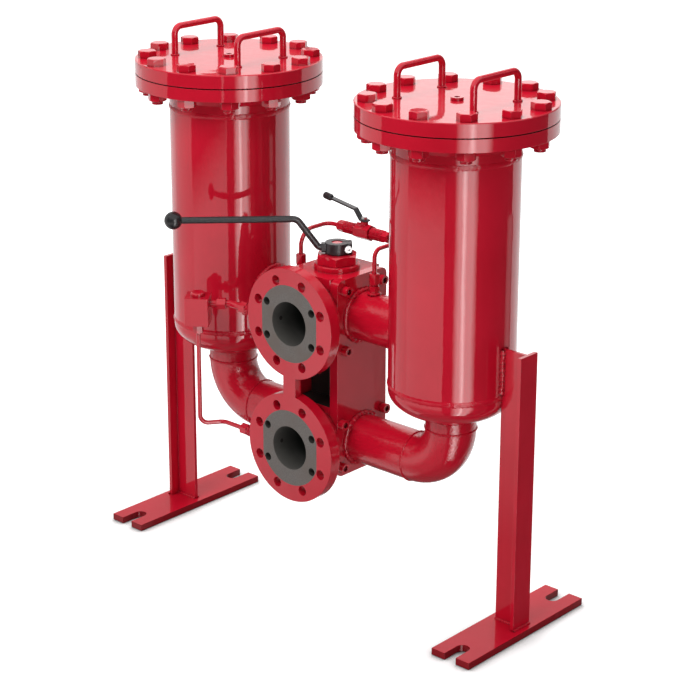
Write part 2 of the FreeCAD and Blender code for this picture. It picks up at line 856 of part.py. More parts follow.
def upper_pipe():
    """A straight stub from the side plate to the vessel, cut to the vessel's curve."""
    start = vec(side_plate_x, axis_y, upper_port_z)
    stub = tube(pipe_dia / 2, pipe_dia / 2 - pipe_wall, start, X, vessel_x - side_plate_x)
    return stub.cut(cylinder(vessel_r, vec(vessel_x, axis_y, upper_port_z - pipe_dia), Z, 2 * pipe_dia))


def lower_pipe():
    start = vec(side_plate_x, axis_y, lower_port_z)
    return tube(pipe_dia / 2, pipe_dia / 2 - pipe_wall, start, X, elbow_x - side_plate_x)


def elbow():
    """A short-radius elbow and the nozzle above it that ends on the dished end."""
    start = vec(elbow_x, axis_y, lower_port_z)
    outer = Part.Face(Part.Wire(Part.Circle(start, X, pipe_dia / 2).toShape()))
    inner = Part.Face(Part.Wire(Part.Circle(start, X, pipe_dia / 2 - pipe_wall).toShape()))
    centre = vec(elbow_x, axis_y, elbow_top_z)
    bend = outer.revolve(centre, Y * -1, 90).cut(inner.revolve(centre, Y * -1, 90))
    top = vec(vessel_x, axis_y, elbow_top_z)
    nozzle = tube(pipe_dia / 2, pipe_dia / 2 - pipe_wall, top, Z, head_tangent_z - elbow_top_z)
    return bend.fuse(nozzle.cut(head_solid(vessel_r, head_depth))).removeSplitter()


add_pair("upper_pipe", upper_pipe())
add_pair("lower_pipe", lower_pipe())
add_pair("elbow", elbow())


# Legs and base plates


def leg():
    """A T-bar whose web is welded to the vessel and whose flange faces outwards."""
    half_web = leg_web_thick / 2
    half_flange = leg_flange_width / 2
    web = box(leg_inner_x - 1, leg_outer_x, axis_y - half_web, axis_y + half_web, base_thick, leg_top_z)
    web = web.cut(cylinder(vessel_r, vec(vessel_x, axis_y, 0), Z, leg_top_z))
    flange = box(
        leg_outer_x - leg_flange_thick,
        leg_outer_x,
        axis_y - half_flange,
        axis_y + half_flange,
        base_thick,
        leg_top_z,
    )
    return fuse([web, flange])


def base_plate():
    half_length = base_length / 2
    half_width = base_width / 2
    plate = box(
        base_mid_x - half_width,
        base_mid_x + half_width,
        axis_y - half_length,
        axis_y + half_length,
        0,
        base_thick,
    )
    radius = base_slot_width / 2
    for side in (-1, 1):
        end = axis_y + side * half_length
        bottom = end - side * (base_slot_depth - radius)
        run = box(base_mid_x - radius, base_mid_x + radius, min(end, bottom), max(end, bottom), 0, base_thick)
        plate = plate.cut(run).cut(cylinder(radius, vec(base_mid_x, bottom, 0), Z, base_thick))
    return plate


add_pair("leg", leg())
add_pair("base_plate", base_plate())


# Equalizing line between the two upper pipes


def tap_fitting(x):
    """A weld boss, a hexagon, a waist and a union nut on top of an upper pipe."""
    foot = vec(x, axis_y, pipe_top_z - 1)
    boss = cylinder(tap_boss_dia / 2, foot, Z, tap_boss_height + 1)
    boss = boss.cut(cylinder(pipe_dia / 2, vec(x - tap_boss_dia, axis_y, upper_port_z), X, 2 * tap_boss_dia))
    hex_z = pipe_top_z + tap_boss_height
    hex_start = vec(x, axis_y, hex_z)
    hexagon_part = chamfered_hexagon(fitting_flats, hex_start, Z, fitting_hex_height, hex_chamfer, 20)
    waist_z = hex_z + fitting_hex_height
    waist = cylinder(fitting_waist_dia / 2, vec(x, axis_y, waist_z), Z, fitting_waist_height)
    nut_z = waist_z + fitting_waist_height
    nut = chamfered_hexagon(fitting_flats, vec(x, axis_y, nut_z), Z, fitting_nut_height, hex_chamfer, 20)
    socket = cylinder(tube_dia / 2 + thread_gap, vec(x, axis_y, hex_z), Z, nut_z + fitting_nut_height - hex_z)
    return fuse([boss, hexagon_part, waist, nut]).cut(socket)


fitting_base_z = pipe_top_z + tap_boss_height + fitting_hex_height
line_y = axis_y + line_back


def line_tube(side, bend):
    """From a fitting up, to the back and along to one end of the small valve."""
    x = side * line_tap_x
    end = side * (mini_valve_length / 2 - mini_end_nut_length)
    points = [
        vec(x, axis_y, fitting_base_z),
        vec(x, axis_y, line_z),
        vec(x, line_y, line_z),
        vec(end, line_y, line_z),
    ]
    return bent_tube(tube_dia / 2, tube_dia / 2 - tube_wall, points, [bend, corner_bend])


def mini_valve_body():
    """The small ball valve's body with its two end nuts and the bonnet of its stem."""
    start = -mini_valve_length / 2
    axis_start = vec(start, line_y, line_z)
    neck = cylinder(mini_neck_dia / 2, axis_start, X, mini_valve_length)
    middle = hexagon(mini_body_dia, vec(-mini_body_length / 2, line_y, line_z), X, mini_body_length)
    left_nut = chamfered_hexagon(
        mini_end_flats,
        vec(start + mini_end_nut_length, line_y, line_z),
        X * -1,
        mini_end_nut_length,
        hex_chamfer,
        10,
    )
    right_nut = chamfered_hexagon(
        mini_end_flats,
        vec(-start - mini_end_nut_length, line_y, line_z),
        X,
        mini_end_nut_length,
        hex_chamfer,
        10,
    )
    bonnet = cylinder(mini_bonnet_dia / 2, vec(0, line_y, line_z), Z, mini_bonnet_height)
    body = fuse([neck, middle, left_nut, right_nut, bonnet])
    socket_length = mini_end_nut_length
    cuts = [
        cylinder(mini_bore_dia / 2, axis_start, X, mini_valve_length),
        cylinder(tube_dia / 2 + thread_gap, axis_start, X, socket_length),
        cylinder(tube_dia / 2 + thread_gap, vec(-start, line_y, line_z), X * -1, socket_length),
        Part.makeSphere(mini_ball_dia / 2 + mini_ball_gap, vec(0, line_y, line_z)),
        cylinder(mini_stem_dia / 2 + running_gap, vec(0, line_y, line_z), Z, mini_bonnet_height),
    ]
    return body.cut(Part.makeCompound(cuts))


bonnet_top_z = line_z + mini_bonnet_height


def mini_ball():
    """The small ball with its stem, in one piece."""
    sphere = Part.makeSphere(mini_ball_dia / 2, vec(0, line_y, line_z))
    stem_height = mini_bonnet_height + mini_lever_thick + mini_nut_height
    stem = cylinder(mini_stem_dia / 2, vec(0, line_y, line_z), Z, stem_height)
    bore = cylinder(mini_bore_dia / 2, vec(-mini_ball_dia, line_y, line_z), X, 2 * mini_ball_dia)
    return fuse([sphere, stem]).cut(bore)


def mini_lever():
    """A cranked flat lever that points along the line when the small valve is open."""
    z0 = bonnet_top_z
    t = mini_lever_thick
    profile = [
        (mini_lever_hub_dia / 2, z0),
        (-mini_lever_hub_dia / 2, z0),
        (-mini_lever_run, z0 + mini_lever_rise),
        (-mini_lever_reach, z0 + mini_lever_end_rise),
        (-mini_lever_reach, z0 + mini_lever_end_rise + t),
        (-mini_lever_run + t / 2, z0 + mini_lever_rise + t),
        (-mini_lever_hub_dia / 2 + t / 2, z0 + t),
        (mini_lever_hub_dia / 2, z0 + t),
    ]
    points = [vec(x, line_y - mini_lever_width / 2, z) for x, z in profile]
    bar = Part.Face(Part.makePolygon(points + points[:1])).extrude(vec(0, mini_lever_width, 0))
    pad = cylinder(mini_lever_hub_dia / 2, vec(0, line_y, z0), Z, t)
    hole = cylinder(mini_stem_dia / 2 + running_gap, vec(0, line_y, z0), Z, t)
    way = vec(mini_lever_run - mini_lever_reach, 0, mini_lever_end_rise - mini_lever_rise).normalize()
    tip = vec(-mini_lever_reach, line_y, z0 + mini_lever_end_rise + t / 2)
    grip = cylinder(mini_grip_dia / 2, tip - way * (mini_grip_length - 4), way, mini_grip_length)
    grip = grip.makeFillet(mini_grip_dia / 3, [e for e in grip.Edges if e.Closed])
    return fuse([bar, pad, grip]).cut(hole)


def mini_lever_nut():
    start = vec(0, line_y, bonnet_top_z + mini_lever_thick)
    nut = chamfered_hexagon(mini_nut_flats, start, Z, mini_nut_height, hex_chamfer / 2)
    return nut.cut(cylinder(mini_stem_dia / 2 + running_gap, start, Z, mini_nut_height))


add("equalizing_fittings", Part.makeCompound([tap_fitting(-line_tap_x), tap_fitting(line_tap_x)]))
add("equalizing_tubes", Part.makeCompound([line_tube(-1, left_line_bend), line_tube(1, right_line_bend)]))
add("equalizing_valve_body", mini_valve_body())
add("equalizing_ball", mini_ball())
add("equalizing_lever", mini_lever())
add("equalizing_lever_nut", mini_lever_nut())


# Differential pressure indicator, turned to face the front right


indicator_y = axis_y - indicator_front
tap_y = port_y + port_flange_thick / 2
turn_rad = math.radians(indicator_turn)
indicator_way = vec(math.cos(turn_rad), math.sin(turn_rad), 0)
indicator_knee_x = indicator_x + (tap_y - indicator_y) / math.tan(turn_rad)
indicator_bottom_z = indicator_z - indicator_height / 2
rim_x = -port_flange_dia / 2


def indicator_block():
    half = indicator_width / 2
    cube = box(-half, half, -half, half, -indicator_height / 2, indicator_height / 2)
    cube = cube.makeChamfer(indicator_corner, [e for e in cube.Edges if abs(e.BoundBox.ZLength) > half])
    cube.rotate(vec(0, 0, 0), Z, indicator_turn)
    cube.translate(vec(indicator_x, indicator_y, indicator_z))
    return cube


def indicator_cap():
    base = vec(indicator_x, indicator_y, indicator_z + indicator_height / 2)
    lower = cylinder(indicator_cap_dia / 2, base, Z, indicator_cap_height * 0.7)
    upper_start = base + Z * (indicator_cap_height * 0.7)
    upper = cone(indicator_cap_dia / 2, indicator_cap_dia / 2 - 2, upper_start, Z, indicator_cap_height * 0.3)
    return fuse([lower, upper])


def rim_space(z):
    """The room that a port flange takes, which the pipes of the indicator stop at."""
    return cylinder(port_flange_dia / 2, vec(0, port_y, z), Y, port_flange_thick)


def indicator_upper_pipe():
    """The rigid pipe between the block and the rim of the upper port flange."""
    start = vec(indicator_x, indicator_y, upper_port_z) + indicator_way * (indicator_width / 2)
    points = [start, vec(indicator_knee_x, tap_y, upper_port_z), vec(rim_x + 2, tap_y, upper_port_z)]
    return bent_rod(indicator_pipe_dia / 2, points, [indicator_pipe_bend]).cut(rim_space(upper_port_z))


def indicator_lower_tube():
    """The bent tube from the block's underside to the rim of the lower port flange."""
    points = [
        vec(indicator_x, indicator_y, indicator_bottom_z),
        vec(indicator_x, indicator_y, lower_port_z),
        vec(indicator_x + indicator_lower_run, tap_y, lower_port_z),
        vec(rim_x + 2, tap_y, lower_port_z),
    ]
    bends = [indicator_tube_bend, indicator_tube_bend]
    return bent_rod(tube_dia / 2, points, bends).cut(rim_space(lower_port_z))


def sleeve(shape, radius, start, along, length):
    return shape.cut(cylinder(radius, start, along, length))


def rim_fitting(z, inner):
    """A boss on the rim of a port flange with a union nut on its outer end."""
    nut_start = vec(rim_x - indicator_boss_length, tap_y, z)
    boss = cylinder(indicator_boss_dia / 2, nut_start, X, indicator_boss_length + 2)
    nut = chamfered_hexagon(indicator_nut_flats, nut_start, X * -1, indicator_end_nut_length, hex_chamfer)
    body = fuse([boss, nut])
    length = indicator_boss_length + indicator_end_nut_length + 2
    return sleeve(body, inner, vec(rim_x + 2, tap_y, z), X * -1, length).cut(rim_space(z))


def indicator_fittings():
    """The union nut of the pipe, the nut of the tube, and the fittings on the two flanges."""
    pipe_r = indicator_pipe_dia / 2 + thread_gap
    tube_r = tube_dia / 2 + thread_gap
    block_face = vec(indicator_x, indicator_y, upper_port_z) + indicator_way * (indicator_width / 2)
    union_start = block_face + indicator_way * indicator_nut_offset
    union = chamfered_hexagon(
        indicator_nut_flats, union_start, indicator_way, indicator_nut_length, hex_chamfer
    )
    under = vec(indicator_x, indicator_y, indicator_bottom_z)
    nut = chamfered_hexagon(fitting_flats, under, Z * -1, fitting_nut_height, hex_chamfer)
    return Part.makeCompound([
        sleeve(union, pipe_r, union_start, indicator_way, indicator_nut_length),
        sleeve(nut, tube_r, under, Z * -1, fitting_nut_height),
        rim_fitting(upper_port_z, pipe_r),
        rim_fitting(lower_port_z, tube_r),
    ])


add("indicator_block", indicator_block())
add("indicator_cap", indicator_cap())
add("indicator_upper_pipe", indicator_upper_pipe())
add("indicator_lower_tube", indicator_lower_tube())
add("indicator_fittings", indicator_fittings())


os.makedirs("parts", exist_ok=True)
for name, shape in nodes.items():
    shape.exportStep("parts/" + name + ".step")
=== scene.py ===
import bpy
import json
import math
import random
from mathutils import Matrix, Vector


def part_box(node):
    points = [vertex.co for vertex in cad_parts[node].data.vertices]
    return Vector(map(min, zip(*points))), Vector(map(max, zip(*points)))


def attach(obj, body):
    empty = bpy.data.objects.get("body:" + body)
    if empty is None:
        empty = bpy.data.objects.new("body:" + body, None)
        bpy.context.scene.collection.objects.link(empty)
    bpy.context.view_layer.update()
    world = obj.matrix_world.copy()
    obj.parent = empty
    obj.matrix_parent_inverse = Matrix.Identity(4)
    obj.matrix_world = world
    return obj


# The looks of the duplex strainer, in metres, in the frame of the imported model.

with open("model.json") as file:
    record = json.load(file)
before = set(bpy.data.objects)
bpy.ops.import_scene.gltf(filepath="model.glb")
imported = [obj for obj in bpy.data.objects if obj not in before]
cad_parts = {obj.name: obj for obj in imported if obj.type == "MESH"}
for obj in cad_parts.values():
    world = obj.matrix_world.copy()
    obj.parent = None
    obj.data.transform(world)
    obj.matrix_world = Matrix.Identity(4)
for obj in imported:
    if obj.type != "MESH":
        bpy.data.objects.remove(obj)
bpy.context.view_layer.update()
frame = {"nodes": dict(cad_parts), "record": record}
nodes = frame["nodes"]
random.seed(7)

# Camera, fitted to the photograph
camera_place = Vector((2.2710, -2.4749, 1.6314))
camera_yaw = math.radians(42.47)
camera_pitch = math.radians(17.21)
camera_lens = 102.6
camera_shift = (0.0286, -0.13)

# Places taken from the frame


def middle(name):
    low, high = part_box(name)
    return (low + high) / 2


def half_size(name):
    low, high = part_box(name)
    return (high - low) / 2


vessel = middle("right_vessel")
vessel_r = half_size("right_vessel").y
neck_top_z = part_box("right_vessel")[1].z
upper_pipe = middle("right_upper_pipe")
lower_pipe = middle("right_lower_pipe")
pipe_r = half_size("right_upper_pipe").z
axis_y = vessel.y
port_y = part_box("valve_body")[0].y
plate_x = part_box("right_side_plate")[1].x
elbow_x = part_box("right_lower_pipe")[1].x
elbow_top_z = lower_pipe.z + vessel.x - elbow_x
cover_top_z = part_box("right_cover")[1].z
nuts_low_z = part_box("right_cover_nuts")[0].z
leg_low, leg_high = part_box("right_leg")
foot_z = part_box("right_base_plate")[1].z
block_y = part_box("right_side_plate")[0].y

# Sizes that the photograph adds: the machined faces and the holes in them
port_face_r = 0.070
rim_r = 0.100
port_face_half_x = 0.065
port_bore_r = 0.0402
tapped_x = 0.0532
tapped_z = 0.03095
tapped_r = 0.0072
hollow_z = (0.3325, 0.4250)
hollow_y = (block_y + 0.0005, block_y + 0.0425)
hollow_half_x = 0.0422
gauge_tap_y, gauge_tap_z, gauge_tap_r = 0.0215, -0.003, 0.0038

# Where the vessels' welds stand
head_depth = 0.052
head_tangent_z = 0.410
seam_z = 0.420
neck_seam_z = neck_top_z - 0.019
seam_ring_r = vessel_r - 0.0105
elbow_ring_r = pipe_r - 0.0004
leg_web_half = 0.003
leg_flange = 0.007
handle_rod_r = 0.006

# Radii of the weld beads; that of a seam lies mostly inside the vessel's wall
seam_bead = 0.0121
plate_bead = 0.0062
leg_bead = 0.006
vessel_bead = 0.005
nozzle_bead = 0.004
foot_bead = 0.003
foot_flange_bead = 0.0032
elbow_bead = 0.0022

# The basket lining's holes
holes_around = 80.0
hole_row = 0.0052

# Colours as linear red, green, blue and one
paint_deep = (0.47, 0.0045, 0.019, 1.0)
paint_bright = (0.53, 0.006, 0.024, 1.0)
# Colour of the painted shade in corners
painted_corner_shade = (0.17, 0.0015, 0.006, 1.0)
# Colour of the painted shade on upright sides
painted_side_shade = (0.25, 0.006, 0.012, 1.0)
machined_dark = (0.11, 0.1, 0.094, 1.0)
machined_light = (0.19, 0.172, 0.162, 1.0)
machined_blotch = (0.145, 0.122, 0.11, 1.0)
# The bore's metal at its mouth, then its painted shade deep inside
bore_mouth = (0.095, 0.09, 0.083, 1.0)
bore_deep_shade = (0.016, 0.016, 0.015, 1.0)
tapped_dark = (0.045, 0.042, 0.038, 1.0)
# Colour of the painted shade in the hollow and in the small tapping
hollow_shade = (0.026, 0.022, 0.02, 1.0)
card_tint = (1.0, 0.97, 0.96, 1.0)
white = (1.0, 1.0, 1.0, 1.0)


# Materials


class Graph:
    """A material whose nodes are added one call at a time."""

    def __init__(self, name):
        self.material = bpy.data.materials.new(name)
        self.material.use_nodes = True
        self.tree = self.material.node_tree
        self.shader = self.tree.nodes["Principled BSDF"]
        self.place = self.node("TexCoord").outputs["Object"]

    def node(self, kind, inputs=None, **settings):
        made = self.tree.nodes.new("ShaderNode" + kind)
        for name, value in settings.items():
            setattr(made, name, value)
        for key, value in (inputs or {}).items():
            self.put(made.inputs[key], value)
        return made

    def put(self, socket, value):
        if isinstance(value, bpy.types.NodeSocket):
            self.tree.links.new(value, socket)
        else:
            socket.default_value = value

    def set(self, **values):
        for name, value in values.items():
            self.put(self.shader.inputs[name.replace("_", " ")], value)

    def math(self, operation, a, b=0.0, c=0.0):
        made = self.node("Math", {0: a, 1: b, 2: c}, operation=operation)
        return made.outputs[0]

    def noise(self, scale, detail=3.0, roughness=0.5, stretch=None):
        place = self.place
        if stretch:
            place = self.node("Mapping", {"Vector": self.place, "Scale": stretch}).outputs[0]
        inputs = {"Vector": place, "Scale": scale, "Detail": detail, "Roughness": roughness}
        return self.node("TexNoise", inputs).outputs["Fac"]

    def ramp(self, factor, low, high, start=0.0, end=1.0):
        """The factor from start to end is spread over low to high."""
        inputs = {"Value": factor, "From Min": start, "From Max": end, "To Min": low, "To Max": high}
        return self.node("MapRange", inputs).outputs[0]

    def mix(self, factor, a, b, blend="MIX"):
        made = self.node("Mix", {"Factor": factor, 6: a, 7: b}, data_type="RGBA", blend_type=blend)
        return made.outputs[2]

    def bump(self, height, distance, strength=1.0, normal=None):
        inputs = {"Height": height, "Distance": distance, "Strength": strength}
        if normal:
            inputs["Normal"] = normal
        return self.node("Bump", inputs).outputs[0]

    def soft_edges(self, radius):
        return self.node("Bevel", {"Radius": radius}, samples=4).outputs[0]

    def corners(self, distance):
        """Ambient occlusion as a factor: white in the open and dark in corners, where shade falls."""
        return self.node("AmbientOcclusion", {"Distance": distance}, samples=4).outputs["AO"]

    def facing_up(self):
        """1 where the surface faces up, 0 where it stands upright and -1 where it faces down."""
        return self.split(self.node("NewGeometry").outputs["Normal"])[2]

    def split(self, vector):
        return self.node("SeparateXYZ", {"Vector": vector}).outputs

    def square_sum(self, a, b):
        return self.math("ADD", self.math("MULTIPLY", a, a), self.math("MULTIPLY", b, b))

    def between(self, value, low, high):
        above = self.math("GREATER_THAN", value, low)
        return self.math("MULTIPLY", above, self.math("LESS_THAN", value, high))


def paint(name, edge=0.0008, lumps=0.0, thread_below=None, gloss=1.0, shade_sides=False):
    """Glossy red paint: thick coat, orange peel and slight runs, with painted shade in corners and, where
    asked, on upright sides.
    """
    g = Graph(name)
    cloudy = g.ramp(g.noise(7.0), 0.0, 1.0, 0.35, 0.65)
    colour = g.mix(cloudy, paint_deep, paint_bright)
    # Painted shade: ambient occlusion darkens the paint in corners and creases.
    corner_shade = g.ramp(g.corners(0.012), 0.0, 1.0, 0.25, 0.8)
    colour = g.mix(corner_shade, painted_corner_shade, colour)
    if shade_sides:
        # Painted shade: faces that stand upright, such as the base plates' sides, are darkened.
        level = g.ramp(g.math("ABSOLUTE", g.facing_up()), 0.0, 1.0, 0.3, 0.7)
        colour = g.mix(level, painted_side_shade, colour)
    normal = g.soft_edges(edge)
    if thread_below is not None:
        turns = g.node("TexWave", {"Vector": g.place, "Scale": 63.0}, bands_direction="Z").outputs["Fac"]
        height = g.split(g.place)[2]
        threaded = g.math("MULTIPLY", turns, g.math("LESS_THAN", height, thread_below))
        normal = g.bump(threaded, 0.0012, 1.0, normal)
    if lumps:
        normal = g.bump(g.noise(260.0, 2.0), lumps, 1.0, normal)
    runs = g.noise(1.0, 2.0, 0.5, (22.0, 22.0, 5.0))
    normal = g.bump(runs, 0.0011, 0.45, normal)
    normal = g.bump(g.noise(95.0, 2.0), 0.00012, 0.6, normal)
    normal = g.bump(g.noise(700.0, 1.0), 0.00002, 0.5, normal)
    g.set(Base_Color=colour, Roughness=g.ramp(g.noise(60.0), 0.3, 0.42), Normal=normal)
    g.set(Coat_Weight=gloss, Coat_Roughness=0.035, Coat_IOR=1.6, Coat_Normal=normal)
    g.set(Specular_IOR_Level=0.04)
    return g


def valve_paint():
    """The valve body's paint, with bare machined port faces and bores, and painted shade deep in the bores,
    in the hollow and in a small tapping.
    """
    g = paint("valve_paint", edge=0.001, lumps=0.0001)
    painted = g.shader.inputs["Base Color"].links[0].from_socket
    painted_rough = g.shader.inputs["Roughness"].links[0].from_socket
    painted_normal = g.shader.inputs["Normal"].links[0].from_socket
    x, y, z = g.split(g.place)
    masks = []
    bores = []
    threads = []
    gauges = []
    for port_z in (upper_pipe.z, lower_pipe.z):
        rise = g.math("SUBTRACT", z, port_z)
        reach = g.math("SQRT", g.square_sum(x, rise))
        inside = g.math("LESS_THAN", reach, port_face_r)
        across = g.math("LESS_THAN", g.math("ABSOLUTE", x), port_face_half_x)
        masks.append(g.math("MULTIPLY", inside, across))
        bores.append(g.math("LESS_THAN", reach, port_bore_r))
        tap_x = g.math("SUBTRACT", g.math("ABSOLUTE", x), tapped_x)
        tap_z = g.math("SUBTRACT", g.math("ABSOLUTE", rise), tapped_z)
        threads.append(g.math("LESS_THAN", g.square_sum(tap_x, tap_z), tapped_r**2))
        tap_y = g.math("SUBTRACT", y, port_y + gauge_tap_y)
        tap_z = g.math("SUBTRACT", rise, gauge_tap_z)
        near = g.math("MULTIPLY", g.math("LESS_THAN", x, 0.0), g.math("LESS_THAN", reach, port_bore_r))
        spot = g.math("LESS_THAN", g.square_sum(tap_y, tap_z), gauge_tap_r**2)
        gauges.append(g.math("MULTIPLY", spot, near))
    face = g.math("MULTIPLY", g.math("MAXIMUM", *masks), g.math("LESS_THAN", y, port_y + 0.0004))
    bore = g.math("MULTIPLY", g.math("MAXIMUM", *bores), g.math("LESS_THAN", y, axis_y))
    tapped = g.math("MULTIPLY", g.math("MAXIMUM", *threads), g.math("LESS_THAN", y, port_y + 0.03))
    wide = g.math("LESS_THAN", g.math("ABSOLUTE", x), hollow_half_x)
    hollow = g.math("MULTIPLY", g.between(z, *hollow_z), g.between(y, *hollow_y))
    hollow = g.math("MULTIPLY", hollow, wide)
    # Painted shade: the hollow between the ports and the small tapping in the bore wall are painted
    # near-black.
    dark = g.math("MAXIMUM", hollow, g.math("MAXIMUM", *gauges))
    holes = g.math("MAXIMUM", dark, tapped)
    bare = g.math("MAXIMUM", g.math("MAXIMUM", face, bore), holes)
    speckle = g.ramp(g.noise(420.0, 4.0, 0.7), 0.0, 1.0, 0.3, 0.7)
    metal = g.mix(speckle, machined_dark, machined_light)
    blotches = g.ramp(g.noise(26.0, 3.0), 0.0, 1.0, 0.42, 0.68)
    metal = g.mix(blotches, metal, machined_blotch)
    # Painted shade: the bore darkens with depth from its mouth.
    bore_shade = g.mix(g.ramp(y, 0.0, 1.0, port_y, port_y + 0.06), bore_mouth, bore_deep_shade)
    metal = g.mix(bore, metal, bore_shade)
    metal = g.mix(tapped, metal, tapped_dark)
    metal = g.mix(dark, metal, hollow_shade)
    turned = g.bump(speckle, 0.00008, 0.8, g.soft_edges(0.0008))
    g.set(Base_Color=g.mix(bare, painted, metal))
    g.set(Roughness=g.math("MAXIMUM", painted_rough, g.math("MULTIPLY", bare, 0.62)))
    g.set(Coat_Weight=g.math("SUBTRACT", g.ramp(g.facing_up(), 1.0, 0.4, 0.6, 0.95), bare))
    g.set(Normal=g.node("Mix", {"Factor": bare, 4: painted_normal, 5: turned}, data_type="VECTOR").outputs[1])
    return g


def black_enamel():
    g = Graph("black_enamel")
    worn = g.ramp(g.noise(180.0, 4.0, 0.65), 0.0, 1.0, 0.4, 0.75)
    g.set(Base_Color=g.mix(worn, (0.018, 0.018, 0.02, 1.0), (0.034, 0.034, 0.037, 1.0)))
    normal = g.bump(g.noise(520.0, 2.0), 0.00006, 0.6, g.soft_edges(0.0009))
    g.set(Roughness=g.ramp(worn, 0.36, 0.5), Normal=normal, Coat_Weight=0.25, Coat_Roughness=0.25)
    return g


def black_plastic():
    g = Graph("black_plastic")
    g.set(Base_Color=g.mix(g.noise(90.0, 2.0), (0.012, 0.012, 0.013, 1.0), (0.02, 0.02, 0.022, 1.0)))
    g.set(Roughness=g.ramp(g.noise(300.0, 3.0), 0.2, 0.3), Normal=g.bump(g.noise(600.0, 1.0), 0.00002, 0.5))
    return g


def bright_steel():
    """Zinc-plated steel with fine turning marks."""
    g = Graph("bright_steel")
    grain = g.noise(900.0, 3.0, 0.6)
    g.set(Base_Color=g.mix(grain, (0.56, 0.57, 0.58, 1.0), (0.78, 0.78, 0.77, 1.0)), Metallic=1.0)
    g.set(Roughness=g.ramp(grain, 0.22, 0.38), Normal=g.bump(grain, 0.00002, 0.5, g.soft_edges(0.0004)))
    return g


def polished_steel():
    g = Graph("polished_steel")
    marks = g.noise(40.0, 4.0, 0.6, (1.0, 1.0, 14.0))
    g.set(Base_Color=g.mix(marks, (0.62, 0.62, 0.63, 1.0), (0.74, 0.74, 0.75, 1.0)), Metallic=1.0)
    g.set(Roughness=g.ramp(marks, 0.1, 0.2), Normal=g.bump(marks, 0.00003, 0.3, g.soft_edges(0.0006)))
    return g


def stainless(name, holes=False):
    """Pickled stainless sheet, and for the basket's lining a staggered pattern of small holes."""
    g = Graph(name)
    grain = g.noise(160.0, 4.0, 0.6, (1.0, 1.0, 0.12))
    colour = g.mix(grain, (0.42, 0.42, 0.41, 1.0), (0.6, 0.6, 0.58, 1.0))
    normal = g.bump(grain, 0.00005, 0.5, g.soft_edges(0.0005))
    rough = g.ramp(grain, 0.28, 0.46)
    metal = 1.0
    if holes:
        x, y, z = g.split(g.place)
        side = g.math("SUBTRACT", g.math("ABSOLUTE", x), vessel.x)
        angle = g.math("ARCTAN2", g.math("SUBTRACT", y, axis_y), side)
        around = g.math("MULTIPLY", angle, holes_around / math.tau)
        rows = g.math("MULTIPLY", z, 1.0 / hole_row)
        odd = g.math("FLOORED_MODULO", g.math("FLOOR", rows), 2.0)
        u = g.math("SUBTRACT", g.math("FRACT", g.math("ADD", around, g.math("MULTIPLY", odd, 0.5))), 0.5)
        v = g.math("SUBTRACT", g.math("FRACT", rows), 0.5)
        reach = g.math("SQRT", g.square_sum(u, v))
        sheet = g.ramp(reach, 0.0, 1.0, 0.27, 0.33)
        colour = g.mix(sheet, (0.008, 0.008, 0.008, 1.0), colour)
        normal = g.bump(sheet, 0.0006, 0.9, normal)
        metal = sheet
    g.set(Base_Color=colour, Metallic=metal, Roughness=rough, Normal=normal)
    return g


def seat_polymer():
    g = Graph("seat_polymer")
    g.set(Base_Color=g.mix(g.noise(70.0), (0.72, 0.7, 0.65, 1.0), (0.82, 0.81, 0.77, 1.0)), Roughness=0.4)
    g.set(Normal=g.bump(g.noise(400.0), 0.00002, 0.5))
    return g


def packing_braid():
    g = Graph("packing_braid")
    inputs = {"Vector": g.place, "Scale": 130.0, "Distortion": 2.0}
    weave = g.node("TexWave", inputs, bands_direction="DIAGONAL").outputs["Fac"]
    g.set(Base_Color=g.mix(weave, (0.02, 0.02, 0.02, 1.0), (0.07, 0.07, 0.075, 1.0)), Roughness=0.6)
    g.set(Normal=g.bump(weave, 0.0003, 0.8))
    return g


def gasket_sheet():
    g = Graph("gasket_sheet")
    fibre = g.noise(500.0, 4.0, 0.7)
    g.set(Base_Color=g.mix(fibre, (0.02, 0.018, 0.02, 1.0), (0.055, 0.045, 0.045, 1.0)), Roughness=0.75)
    g.set(Normal=g.bump(fibre, 0.0001, 0.6))
    return g


red = paint("red_paint").material
red_pipe = paint("pipe_paint", lumps=0.00045).material
red_weld = paint("weld_paint", edge=0.0004, lumps=0.0007, gloss=0.5).material
red_base = paint("base_plate_paint", edge=0.0014, gloss=0.35, shade_sides=True).material
red_thread = paint("bolt_paint", edge=0.0006, thread_below=nuts_low_z).material
finish = {
    "red_paint": red,
    "black_enamel": black_enamel().material,
    "black_plastic": black_plastic().material,
    "bright_steel": bright_steel().material,
    "polished_steel": polished_steel().material,
    "stainless_steel": stainless("stainless_steel").material,
    "seat_polymer": seat_polymer().material,
    "packing": packing_braid().material,
    "gasket_sheet": gasket_sheet().material,
}
special = {
    "valve_body": valve_paint().material,
    "left_cover_bolts": red_thread,
    "right_cover_bolts": red_thread,
    "equalizing_valve_body": paint("small_valve_paint", edge=0.0005, lumps=0.0013, gloss=0.8).material,
    "left_base_plate": red_base,
    "right_base_plate": red_base,
    "left_basket_mesh": stainless("perforated_sheet", holes=True).material,
}
special["right_basket_mesh"] = special["left_basket_mesh"]
for label in ("left", "right"):
    for part in ("elbow", "upper_pipe", "lower_pipe"):
        special[f"{label}_{part}"] = red_pipe


def dress(name, material):
    """Gives a carried-over node its material."""
    thing = nodes[name]
    thing.data.materials.clear()
    thing.data.materials.append(material)


for part in frame["record"]["subparts"]:
    dress(part["node"], special.get(part["node"], finish[part["material_slot"]]))


# Welds


